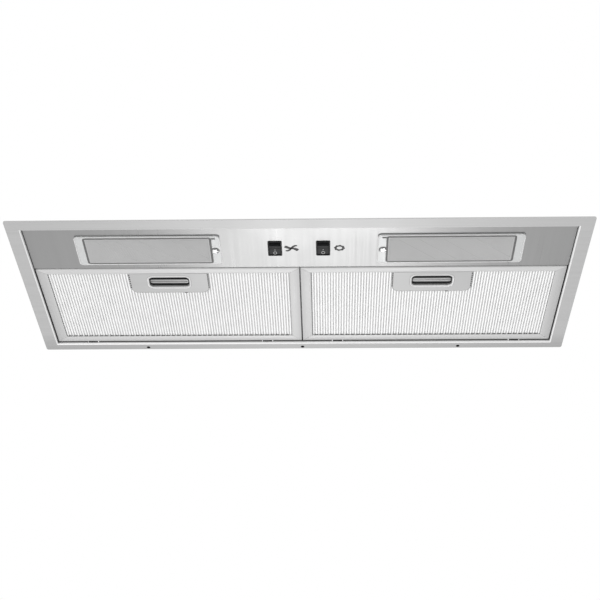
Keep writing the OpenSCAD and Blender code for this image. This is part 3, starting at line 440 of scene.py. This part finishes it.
def expanded(side):
    """Expanded aluminium: rows of diamonds, raised at the knuckles."""
    lo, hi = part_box("filter_mesh_" + side)
    plo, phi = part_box("latch_plate_" + side)
    glo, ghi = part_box("latch_guide_" + side)
    cx = (plo.x + phi.x) / 2
    x0, x1, y0, y1 = lo.x + 0.003, hi.x - 0.003, lo.y + 0.003, hi.y - 0.003
    z0 = lo.z + 0.00012
    verts, faces = [], []
    t = 0.00018
    gx, gy = (ghi.x - glo.x) / 2 + 0.003, ghi.y + 0.001
    keep = lambda x, y: not (abs(x - cx) < gx and y < gy)

    def prism(ring, top):
        n = len(ring)
        k = len(verts)
        verts.extend(ring)
        verts.extend((x, y, z + top) for x, y, z in ring)
        for i in range(n):
            j = (i + 1) % n
            faces.append((k + i, k + j, k + n + j, k + n + i))
        faces.append(tuple(k + i for i in range(n))[::-1])
        faces.append(tuple(k + n + i for i in range(n)))

    def strand(a, b, za, zb, w):
        dx, dy = b[0] - a[0], b[1] - a[1]
        l = math.hypot(dx, dy)
        ux, uy = -dy / l * w, dx / l * w
        lean = 0.00034 if dx > 0 else -0.00034
        prism([(a[0] - ux, a[1] - uy, za + lean), (b[0] - ux, b[1] - uy, zb + lean),
               (b[0] + ux, b[1] + uy, zb - lean), (a[0] + ux, a[1] + uy, za - lean)], t)

    cols = int((x1 - x0) / COL)
    rows = int((y1 - y0) / PITCH_Y)
    off = ((x1 - x0) - cols * COL) / 2
    low, high = z0 + 0.00035, z0 + 0.00115
    for i in range(cols + 1):
        xa = x0 + off + i * COL
        shift = 0.5 if i % 2 else 0.0
        for j in range(rows + 1):
            ya = y0 + (j + shift) * PITCH_Y
            yb = ya + PITCH_Y
            if yb > y1 or not keep(xa, ya) or not keep(xa, yb):
                continue
            ym = (ya + yb) / 2
            w0, w1 = 0.00068, 0.00122
            prism([(xa - w0, ya, low + 0.0003), (xa + w0, ya, low + 0.0003), (xa + w1, ym, low),
                   (xa + w0, yb, low + 0.0003), (xa - w0, yb, low + 0.0003), (xa - w1, ym, low)], t)
            for sx in (-1, 1):
                xb = xa + sx * COL
                if x0 <= xb <= x1 and keep(xb, ym):
                    strand((xa + sx * w1 * 0.8, ym), (xa + sx * COL * 0.5, ym + PITCH_Y / 4), low + 0.0001,
                           high, 0.00030)
    o = mesh_object("expanded_mesh_" + side, verts, faces, M_MESH, "filter_" + side)
    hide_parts("filter_mesh_" + side)
    return o


RAIL = {"left": 14.0 * MM, "right": 14.0 * MM, "front": 10.0 * MM, "rear": 12.0 * MM}


def rail_profile(w, z0, z1, lip):
    """Rolled channel: closed outline across the rail, u from the outer edge."""
    t = 0.0007
    pts = [(0.0, z0 + 0.0008), (0.0003, z0 + 0.0002), (0.0009, z0)]
    pts += [(w - 0.0011, z0), (w - 0.0004, z0 + 0.0002), (w, z0 + 0.0006), (w - 0.0005, z0 + 0.00068)]
    pts += [(0.0009, z0 + t), (t, z0 + 0.0010)]
    if lip:
        pts += [(t, z1 - t), (w - 0.001, z1 - t), (w - 0.001, z1), (0.0004, z1), (0.0, z1 - 0.0004)]
    else:
        pts += [(t, z0 + 0.0024), (0.0, z0 + 0.0024)]
    return pts


def filter_frame(side):
    body = "filter_" + side
    lo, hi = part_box("filter_frame_" + side)
    mlo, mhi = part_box("filter_mesh_" + side)
    x0, x1, y0, y1 = mlo.x - 0.0009, mhi.x + 0.0009, mlo.y - 0.0009, mhi.y + 0.0009
    z0, z1 = mlo.z - 0.00072, hi.z
    outer = [(x0, y0), (x1, y0), (x1, y1), (x0, y1)]
    inner = [(x0 + RAIL["left"], y0 + RAIL["front"]), (x1 - RAIL["right"], y0 + RAIL["front"]),
             (x1 - RAIL["right"], y1 - RAIL["rear"]), (x0 + RAIL["left"], y1 - RAIL["rear"])]
    names = ("front", "right", "rear", "left")
    cx = (x0 + x1) / 2

    def corner(k, u, w):
        f = u / w
        return [outer[k][i] + (inner[k][i] - outer[k][i]) * f for i in (0, 1)]

    first = None
    for k, nm in enumerate(names):
        a, b = k, (k + 1) % 4
        w = RAIL[nm]
        d = [outer[b][i] - outer[a][i] for i in (0, 1)]
        l = math.hypot(*d)
        d = [c / l * 0.00022 for c in d]
        mat = M_FRAME_X if nm in ("front", "rear") else M_SIDE_RAIL_SHADED

        def section(end, prof, x=None):
            out = []
            for u, z in prof:
                px, py = corner(end, u, w)
                if x is None:
                    sgn = 1 if end == a else -1
                    px, py = px + d[0] * sgn, py + d[1] * sgn
                else:
                    px = x
                out.append((px, py, z))
            return out

        full = rail_profile(w, z0, z1, True)
        if nm != "front":
            spans = [(section(a, full), section(b, full))]
        else:
            low = rail_profile(w, z0, z1, False)
            spans = [(section(a, full), section(a, full, cx - 0.0158)),
                     (section(a, low, cx - 0.01578), section(a, low, cx + 0.01578)),
                     (section(a, full, cx + 0.0158), section(b, full))]
        for i, (p, q) in enumerate(spans):
            o = fill([p, q], "filter_rail_%s_%s_%d" % (side, nm, i), mat, body, smooth=40)
            if first is None:
                first = o
    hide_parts("filter_frame_" + side)
    hw = 0.007
    for sh in (-1, 1):
        hx = cx + sh * ((x1 - x0) / 2 - 0.050)
        block("filter_hook_%s_%s" % (side, "a" if sh < 0 else "b"), hx - hw, hx + hw, y1 + 0.00002,
              y1 + 0.005, z0, z0 + 0.0007, M_BLACK_AND_GAP_SHADE, body, 0.0002)
        ring = lambda x: [(x, y1 + 0.0008 * math.cos(q), z0 + 0.0006 + 0.0008 * math.sin(q))
                          for q in [math.radians(22.5 * i) for i in range(16)]]
        fill([ring(hx - hw), ring(hx + hw)], "hook_bead_%s_%s" % (side, "a" if sh < 0 else "b"),
             M_BLACK_AND_GAP_SHADE, body, smooth=40)


def dashes(name, a, b, pitch, dash, width, z, body, mat, depth=0.0001):
    """A row of short dark dashes of painted shade, where the cut mesh ends dip under an edge."""
    l = math.hypot(b[0] - a[0], b[1] - a[1])
    ux, uy = (b[0] - a[0]) / l, (b[1] - a[1]) / l
    nx, ny = -uy * width / 2, ux * width / 2
    verts, faces = [], []
    for i in range(int(l / pitch)):
        s0 = i * pitch + (pitch - dash) / 2 + RND.uniform(-0.05, 0.05) * pitch
        k = len(verts)
        for zz in (z, z + depth):
            for s1, m in ((s0, -1), (s0 + dash, -1), (s0 + dash, 1), (s0, 1)):
                verts.append((a[0] + ux * s1 + nx * m, a[1] + uy * s1 + ny * m, zz))
        faces += [(k + 3, k + 2, k + 1, k), (k + 4, k + 5, k + 6, k + 7), (k, k + 1, k + 5, k + 4),
                  (k + 1, k + 2, k + 6, k + 5), (k + 2, k + 3, k + 7, k + 6), (k + 3, k, k + 4, k + 7)]
    return mesh_object(name, verts, faces, mat, body)


def latch(side):
    """Pressed latch plate with a raised pill rim, and the sprung bar behind it."""
    body, bar = "filter_" + side, "latch_" + side
    lo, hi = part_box("latch_plate_" + side)
    glo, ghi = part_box("latch_guide_" + side)
    slo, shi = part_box("latch_slider_" + side)
    cx = (lo.x + hi.x) / 2
    cy = (glo.y + ghi.y) / 2
    w, d = hi.x - lo.x, hi.y - lo.y
    py = (lo.y + hi.y) / 2
    z0 = lo.z
    r = 0.0085
    outline = lambda m: rr(cx, py, w - 2 * m, d - 2 * m, (r, r, 0.0004, 0.0004), 10)
    pill = lambda a, b, q: rr(cx, cy, a * MM, b * MM, q * MM, 10)
    rings = [at_z(outline(0), z0 + 0.0007), at_z(outline(0), z0 + 0.00022), at_z(outline(0.00022), z0),
             at_z(pill(60.4, 28.6, 9.4), z0), at_z(pill(59.4, 27.6, 9.0), z0 - 0.00035),
             at_z(pill(58.2, 26.2, 8.4), z0 - 0.00060), at_z(pill(56.8, 23.4, 7.4), z0 - 0.00060),
             at_z(pill(55.2, 21.2, 6.2), z0 - 0.00030), at_z(pill(54.3, 20.2, 5.7), z0 + 0.0002),
             at_z(pill(54.1, 20.1, 5.6), z0 + 0.0026), at_z(pill(55.2, 21.2, 6.1), z0 + 0.0026),
             at_z(pill(55.2, 21.2, 6.1), z0 + 0.0007)]
    # painted highlight: these rings carry a pale band round the pill's bead, standing for its glint
    glint = [at_z(pill(58.6, 26.6, 8.6), z0 - 0.00052), at_z(pill(58.2, 26.2, 8.4), z0 - 0.00066),
             at_z(pill(55.4, 21.6, 6.4), z0 - 0.00040), at_z(pill(54.5, 20.4, 5.8), z0 + 0.0002),
             at_z(pill(54.8, 20.8, 6.0), z0 + 0.0003)]
    fill(glint, "latch_glint_painted_" + side, M_GLINT_PAINT, body, (False, False), True, 40)
    o = fill(rings, "latch_press_" + side, M_LATCH, body, (False, False), True, 18)
    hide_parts("latch_plate_" + side)
    # painted shade: a dark line where the plate's rounded rear and sides lie on the mesh
    rim = lambda g: rr(cx, py + 0.0005, w + 2 * g, d + 2 * g - 0.0010, (r + g, r + g, 0.0004, 0.0004), 10)
    fill([at_z(rim(0.0008), z0 + 0.0005), at_z(rim(0.0008), z0 + 0.0002), at_z(rim(-0.0006), z0 + 0.0002),
          at_z(rim(-0.0006), z0 + 0.0005)], "plate_shade_line_" + side, M_EDGE_SHADE, body,
         (False, False), True)
    # bar: barrel with a groove line along its middle
    by = cy + 0.0006
    bz = slo.z
    hd = 0.0040
    prof = [(-hd * 0.35, 0.0021), (-hd, 0.0007), (-hd * 0.86, 0.00030), (-hd * 0.6, 0.00002),
            (-hd * 0.20, 0.00022), (-hd * 0.12, 0.0011), (hd * 0.12, 0.0011), (hd * 0.20, 0.00022),
            (hd * 0.6, 0.00002), (hd * 0.86, 0.00030), (hd, 0.0010), (hd, 0.0021)]
    rings = []
    for x, k in ((-0.0259, 0.55), (-0.0254, 0.80), (-0.0240, 0.95), (-0.0215, 1.0), (0.0215, 1.0),
                 (0.0240, 0.95), (0.0254, 0.80), (0.0259, 0.55)):
        rings.append([(cx + x, by + y * k, bz + z + (1 - k) * 0.0008 * (z < 0.002)) for y, z in prof])
    o = fill(rings, "latch_bar_" + side, M_GRIP, bar, smooth=50)
    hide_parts("latch_slider_" + side)
    # painted shade: the slide plate behind the bar is black so the finger gaps read dark
    block("latch_slide_" + side, cx - 0.031, cx + 0.031, cy - 0.012, cy + 0.0095, bz + 0.00215,
          shi.z, M_BLACK_AND_GAP_SHADE, bar, 0.0002)
    block("latch_tongue_" + side, cx - 0.015, cx + 0.015, slo.y, cy - 0.01202, bz + 0.00215,
          shi.z, M_GRIP, bar, 0.0002)
    # painted shade: dark dashes where the cut mesh ends dip under the plate's sides and the mesh borders
    mlo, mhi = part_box("filter_mesh_" + side)
    x0, x1, y0, y1 = mlo.x - 0.0009, mhi.x + 0.0009, mlo.y - 0.0009, mhi.y + 0.0009
    for sg, nm in ((-1, "a"), (1, "b")):
        x = cx + sg * (w / 2 + 0.0005)
        dashes("plate_side_shade_%s_%s" % (side, nm), (x, lo.y + 0.001), (x, hi.y - 0.008), 0.0044, 0.0022,
               0.0018, z0 + 0.0001, body, M_SHADOW)
    xa, xb, yb = x0 + RAIL["left"], x1 - RAIL["right"], y1 - RAIL["rear"]
    dashes("mesh_shade_rear_" + side, (xa + 0.001, yb - 0.0005), (xb - 0.001, yb - 0.0005), 0.0075,
           0.0050, 0.0016, z0 + 0.0005, body, M_SHADOW)
    dashes("mesh_shade_side_" + side, (xa + 0.0004, lo.y), (xa + 0.0004, yb), 0.0046, 0.0018, 0.0010,
           z0 + 0.0005, body, M_SHADOW)
    dashes("plate_tab_" + side, (cx + 0.019, hi.y + 0.0012), (cx + 0.0232, hi.y + 0.0012), 0.0042,
           0.0040, 0.0014, z0 + 0.0001, body, M_SHADOW, 0.0006)


for sd in ("left", "right"):
    expanded(sd)
    filter_frame(sd)
    latch(sd)


# ---------------------------------------------------------------- lenses
def lens(side, s):
    lo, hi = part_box("lamp_lens_" + side)
    cx, cy, z = (lo.x + hi.x) / 2, (lo.y + hi.y) / 2, lo.z
    w, d = hi.x - lo.x, hi.y - lo.y
    ring = lambda a, b, r: rr(cx, cy, a, b, r, 8)
    rim = [at_z(ring(w, d, 0.0045), z - 0.00002), at_z(ring(w, d, 0.0045), z - 0.0003),
           at_z(ring(w - 0.0006, d - 0.0006, 0.0042), z - 0.00048),
           at_z(ring(w - 0.0016, d - 0.0016, 0.0037), z - 0.00048),
           at_z(ring(w - 0.0024, d - 0.0024, 0.0033), z - 0.00002)]
    fill(rim, "lens_rim_" + side, M_LENS_EDGE, "hood", (False, False), True, 50)
    ww, wd = 0.162, 0.0475
    # painted shade: a grey groove ring round the frosted window
    groove = [at_z(ring(ww + 0.0056, wd + 0.0052, 0.0040), z - 0.00002),
              at_z(ring(ww + 0.0056, wd + 0.0052, 0.0040), z - 0.0001),
              at_z(ring(ww + 0.0004, wd + 0.0004, 0.0014), z - 0.0001),
              at_z(ring(ww + 0.0004, wd + 0.0004, 0.0014), z - 0.00002)]
    fill(groove, "lens_groove_" + side, M_SHADOW2, "hood", (False, False), True)
    step = [at_z(ring(ww, wd, 0.0012), z - 0.00002), at_z(ring(ww, wd, 0.0012), z - 0.0004),
            at_z(ring(ww - 0.0008, wd - 0.0008, 0.0010), z - 0.0006),
            at_z(ring(ww - 0.0036, wd - 0.0036, 0.0006), z - 0.0006),
            at_z(ring(ww - 0.0042, wd - 0.0042, 0.0005), z - 0.00025)]
    fill(step, "lens_window_" + side, M_FROST, "hood", (True, True), False, 50)
    # fine prism ridges over the window
    hx, hy = ww / 2 - 0.0023, wd / 2 - 0.0023
    ang = math.radians(-38)
    ux, uy = math.cos(ang), math.sin(ang)
    nx, ny = -uy, ux
    verts, faces = [], []
    pitch, hw, ht = 0.0020, 0.00085, 0.00022
    reach = int((hx + hy) / pitch) + 2
    for i in range(-reach, reach + 1):
        ox, oy = nx * i * pitch, ny * i * pitch
        t0, t1 = -1.0, 1.0
        for o, u, h in ((ox, ux, hx), (oy, uy, hy)):
            ta, tb = (-h - o) / u, (h - o) / u
            t0, t1 = max(t0, min(ta, tb)), min(t1, max(ta, tb))
        if t1 - t0 < 0.004:
            continue
        k = len(verts)
        for t in (t0, t1):
            for q, zz in ((-hw, 0.00028), (0, 0.00028 + ht), (hw, 0.00028)):
                verts.append((cx + ox + ux * t + nx * q, cy + oy + uy * t + ny * q, z - zz))
        faces += [(k, k + 1, k + 4, k + 3), (k + 1, k + 2, k + 5, k + 4), (k + 2, k, k + 3, k + 5),
                  (k, k + 2, k + 1), (k + 3, k + 4, k + 5)]
    mesh_object("lens_prisms_" + side, verts, faces, M_FROST, "hood")
    # long cut lines across the window, and a broken ring of painted shade on the screw head
    for i, (f, t) in enumerate(((-0.86, 0.10), (-0.52, 0.14), (-0.12, 0.10), (0.42, 0.12))):
        a, b = (cx + f * hx, cy - hy * 0.92), (cx + f * hx + hy * 2.3, cy + hy * 0.92)
        l = math.hypot(b[0] - a[0], b[1] - a[1])
        qx, qy = -(b[1] - a[1]) / l * t * MM * 2, (b[0] - a[0]) / l * t * MM * 2
        if b[0] > cx + hx:
            k = (cx + hx - a[0]) / (b[0] - a[0])
            b = (a[0] + (b[0] - a[0]) * k, a[1] + (b[1] - a[1]) * k)
        quad = [(a[0] - qx, a[1] - qy), (b[0] - qx, b[1] - qy),
                (b[0] + qx, b[1] + qy), (a[0] + qx, a[1] + qy)]
        fill([at_z(quad, z - 0.0003), at_z(quad, z - 0.00053)], "lens_line_%s_%d" % (side, i), M_CUT, "hood")
    sx = cx - s * (w / 2 - 0.0072)
    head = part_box("lens_screws")[0].z
    for i in range(5):
        a0, a1 = math.radians(72 * i + 14), math.radians(72 * i + 70)
        arc = [(sx + q * math.cos(a0 + (a1 - a0) * j / 8), cy + q * math.sin(a0 + (a1 - a0) * j / 8))
               for q, js in ((0.0036, range(9)), (0.0023, range(8, -1, -1))) for j in js]
        fill([at_z(arc, head + 0.0003), at_z(arc, head - 0.00006)], "screw_arc_%s_%d" % (side, i), M_SHADOW2,
             "hood")
    # painted shade: a grey ring round the screw head in its recess
    cup = lambda q, zz: [(sx + q * math.cos(a), cy + q * math.sin(a), zz)
                         for a in [2 * math.pi * i / 36 for i in range(36)]]
    fill([cup(0.0056, z - 0.00002), cup(0.0056, z - 0.00009), cup(0.0040, z - 0.00009),
          cup(0.0040, z - 0.00002)], "screw_cup_" + side, M_SHADOW2, "hood",
         (False, False), True)
    tx = cx - s * (w / 2 - 0.0085)
    ty = cy - d / 2 + 0.0042
    block("lens_tab_" + side, tx - 0.0028, tx + 0.0028, ty - 0.0011, ty + 0.0011, z - 0.0007,
          z - 0.0001, M_SHADOW2, "hood", 0.0003)


lens("left", -1)
lens("right", 1)

for nm, width in (("face_frame", 0.0003), ("control_panel", 0.00025), ("fan_rocker", 0.0006),
                  ("light_rocker", 0.0006), ("fan_switch_body", 0.0005), ("light_switch_body", 0.0005),
                  ("lens_screws", 0.0003), ("tray_shell", 0.0003), ("motor_box", 0.0003),
                  ("outlet_collar", 0.00025), ("check_flap", 0.0002), ("spring_clips", 0.0002),
                  ("terminal_box_cover", 0.0005), ("cable_gland", 0.0004), ("box_screws", 0.0003),
                  ("shell_screws", 0.0003)):
    bevel(N[nm], width)

# painted shade: a black strip on the rear border over the screw holes, given as a foam seal, so the holes
# read dark
block("seal_strip_hole_shade", -0.366, 0.366, 0.1336, 0.1416, 0.00162, 0.0034, M_HOLE_SHADE_STRIP, "hood", 0.0004)

# ---------------------------------------------------------------- printed icons and rocker marks
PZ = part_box("control_panel")[0].z


def flat_shape(name, strips, z, body, mat, thick=0.00006):
    """Printed strips as thin closed solids; each strip is a list of (left, right) point pairs."""
    verts, faces = [], []
    for pairs in strips:
        k = len(verts)
        for l, r in pairs:
            verts += [(*l, z - thick), (*r, z - thick), (*l, z - 0.00001), (*r, z - 0.00001)]
        for i in range(len(pairs) - 1):
            q = k + 4 * i
            faces += [(q, q + 1, q + 5, q + 4), (q + 2, q + 6, q + 7, q + 3), (q, q + 4, q + 6, q + 2),
                      (q + 1, q + 3, q + 7, q + 5)]
        if pairs[0] != pairs[-1]:
            e = k + 4 * (len(pairs) - 1)
            faces += [(k, k + 2, k + 3, k + 1), (e, e + 1, e + 3, e + 2)]
    o = mesh_object(name, verts, faces, mat, body)
    bm = bmesh.new()
    bm.from_mesh(o.data)
    bmesh.ops.remove_doubles(bm, verts=bm.verts[:], dist=1e-6)
    bmesh.ops.recalc_face_normals(bm, faces=bm.faces[:])
    bm.to_mesh(o.data)
    bm.free()
    return o


def fan_icon(cx, cy, w, d):
    """Four swept blades: two crossing strokes that swell towards their tips."""
    strips = []
    for line in ([(-0.98, 0.64, 0.30), (-0.72, 0.40, 0.40), (-0.40, 0.14, 0.32), (0.0, 0.0, 0.24),
                  (0.40, -0.12, 0.32), (0.72, -0.38, 0.42), (0.98, -0.72, 0.36)],
                 [(-0.86, -0.90, 0.16), (-0.52, -0.82, 0.26), (-0.24, -0.52, 0.26), (0.0, 0.0, 0.22),
                  (0.24, 0.52, 0.26), (0.52, 0.82, 0.26), (0.88, 0.92, 0.16)]):
        mid = [(cx + u * w / 2, cy - v * d / 2, h * d / 2) for u, v, h in line]
        pairs = []
        for i, (x, y, h) in enumerate(mid):
            p, q = mid[max(0, i - 1)], mid[min(len(mid) - 1, i + 1)]
            l = math.hypot(q[0] - p[0], q[1] - p[1])
            nx, ny = -(q[1] - p[1]) / l * h, (q[0] - p[0]) / l * h
            pairs.append(((x + nx, y + ny), (x - nx, y - ny)))
        strips.append(pairs)
    return strips


def sun_icon(cx, cy, w, d):
    """A bold ring with eight short rays."""
    pairs = []
    n = 96
    for i in range(n + 1):
        t = 2 * math.pi * (i % n) / n
        ray = 1.0 if (t * 8 / (2 * math.pi)) % 1.0 < 0.40 else 0.90
        pairs.append(tuple((cx + r * math.cos(t) * w / 2, cy + r * math.sin(t) * d / 2) for r in (0.48, ray)))
    return [pairs]


slo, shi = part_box("fan_switch_body")
sw_y = (slo.y + shi.y) / 2
flat_shape("icon_fan", fan_icon(-0.0100, sw_y, 0.0176, 0.0120), PZ, "hood", M_INK)
flat_shape("icon_lamp", sun_icon(0.0528, sw_y, 0.0146, 0.0122), PZ, "hood", M_INK)


def rocker_marks(node, body):
    """A dash and a ring printed on the two faces of the rocker."""
    lo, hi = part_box(node)
    cx, cy = (lo.x + hi.x) / 2, (lo.y + hi.y) / 2
    pivot_z = PZ + 0.0046
    tilt = math.radians(ROCKER_TILT)

    def put(name, loops):
        verts, faces = [], []
        for loop in loops:
            k = len(verts)
            for th in (0.00003, 0.00010):
                for x, y in loop:
                    z = -0.005 - abs(y) * math.tan(tilt) - th
                    verts.append((cx + x, cy + y * math.cos(tilt) - z * math.sin(tilt),
                                  pivot_z + y * math.sin(tilt) + z * math.cos(tilt)))
            n = len(loop)
            faces += [tuple(k + i for i in range(n)), tuple(k + n + i for i in range(n))[::-1]]
            faces += [(k + i, k + n + i, k + n + (i + 1) % n, k + (i + 1) % n) for i in range(n)]
        mesh_object(name, verts, faces, M_MARK_W, body)

    put(node + "_dash", [[(-0.0004, 0.0001), (0.0004, 0.0001), (0.0004, 0.0020), (-0.0004, 0.0020)]])
    n, r0, r1, yc = 28, 0.0017, 0.0024, min(0.0070, (hi.y - lo.y) / 2 - 0.0034)
    ring = []
    for i in range(n):
        a, b = 2 * math.pi * i / n, 2 * math.pi * (i + 1) / n
        ring.append([(r * math.cos(q), yc + r * 1.15 * math.sin(q))
                     for r, q in ((r0, a), (r1, a), (r1, b), (r0, b))])
    put(node + "_ring", ring)


rocker_marks("fan_rocker", "fan_switch")
rocker_marks("light_rocker", "light_switch")

# ---------------------------------------------------------------- camera, lights, room
cam_data = bpy.data.cameras.new("camera")
cam = bpy.data.objects.new("camera", cam_data)
bpy.context.scene.collection.objects.link(cam)
cam_data.lens = 68.75
cam_data.sensor_width = 36
cam_data.clip_start, cam_data.clip_end = 0.05, 50
right = Vector((0.9997, 0.0236, 0.0103))
up = Vector((0.0060, -0.6034, 0.7974))
fwd = Vector((-0.0251, 0.7971, 0.6033))
rot = Matrix((right, up, -fwd)).transposed()
cam.matrix_world = Matrix.Translation((0.0384, -1.2325, -0.9522)) @ rot.to_4x4()
bpy.context.scene.camera = cam


def area(name, loc, target, size, power, size_y=None):
    d = bpy.data.lights.new(name, "AREA")
    d.energy = power
    d.shape = "RECTANGLE"
    d.size = size
    d.size_y = size_y or size
    o = bpy.data.objects.new(name, d)
    bpy.context.scene.collection.objects.link(o)
    o.location = loc
    o.rotation_mode = "QUATERNION"
    o.rotation_quaternion = (Vector(target) - Vector(loc)).to_track_quat("-Z", "Y")
    return o


area("key_front", (-1.4, -2.3, -1.3), (0, 0, 0), 1.6, 34)
area("fill_right", (2.2, -1.4, 0.9), (0, 0, 0.1), 1.6, 14)
glow = area("glow_below", (0, 1.25, -1.38), (0, -0.08, 0), 0.6, 4.8, 0.7)
glow.visible_camera = False
area("top", (0, 0.4, 2.6), (0, 0, 0.1), 3.0, 14)

world = bpy.data.worlds.new("studio")
bpy.context.scene.world = world
world.use_nodes = True
wt = world.node_tree
bg = wt.nodes["Background"]
lp = wt.nodes.new("ShaderNodeLightPath")
pick = wt.nodes.new("ShaderNodeMix")
pick.data_type = "FLOAT"
seen = lp.outputs["Is Camera Ray"]
for ray in ("Is Glossy Ray", "Is Transmission Ray"):
    most = wt.nodes.new("ShaderNodeMath")
    most.operation = "MAXIMUM"
    wt.links.new(seen, most.inputs[0])
    wt.links.new(lp.outputs[ray], most.inputs[1])
    seen = most.outputs[0]
wt.links.new(seen, pick.inputs[0])
pick.inputs[2].default_value = 0.86
pick.inputs[3].default_value = 1.0
wt.links.new(pick.outputs[0], bg.inputs["Strength"])
bg.inputs["Color"].default_value = (1, 1, 1, 1)

me = bpy.data.meshes.new("floor")
FLOOR_HALF, FLOOR_Z = 12.0, -2.2
corners = [(x * FLOOR_HALF, y * FLOOR_HALF, FLOOR_Z) for x, y in ((-1, -1), (1, -1), (1, 1), (-1, 1))]
me.from_pydata(corners, [], [(0, 1, 2, 3)])
floor = bpy.data.objects.new("floor", me)
bpy.context.scene.collection.objects.link(floor)
fm = Nodes("pale_floor")
fn = fm.noise(fm.obj(), 3, 3, 0.5)
fm.link(fm.ramp(fn, [(0.3, (0.80, 0.80, 0.80)), (0.7, (0.84, 0.84, 0.84))]), fm.bsdf.inputs["Base Color"])
fm.set(Roughness=0.9)
floor.data.materials.append(fm.mat)
floor.visible_glossy = False
floor.visible_diffuse = False

scene = bpy.context.scene
scene.view_settings.view_transform = "Standard"
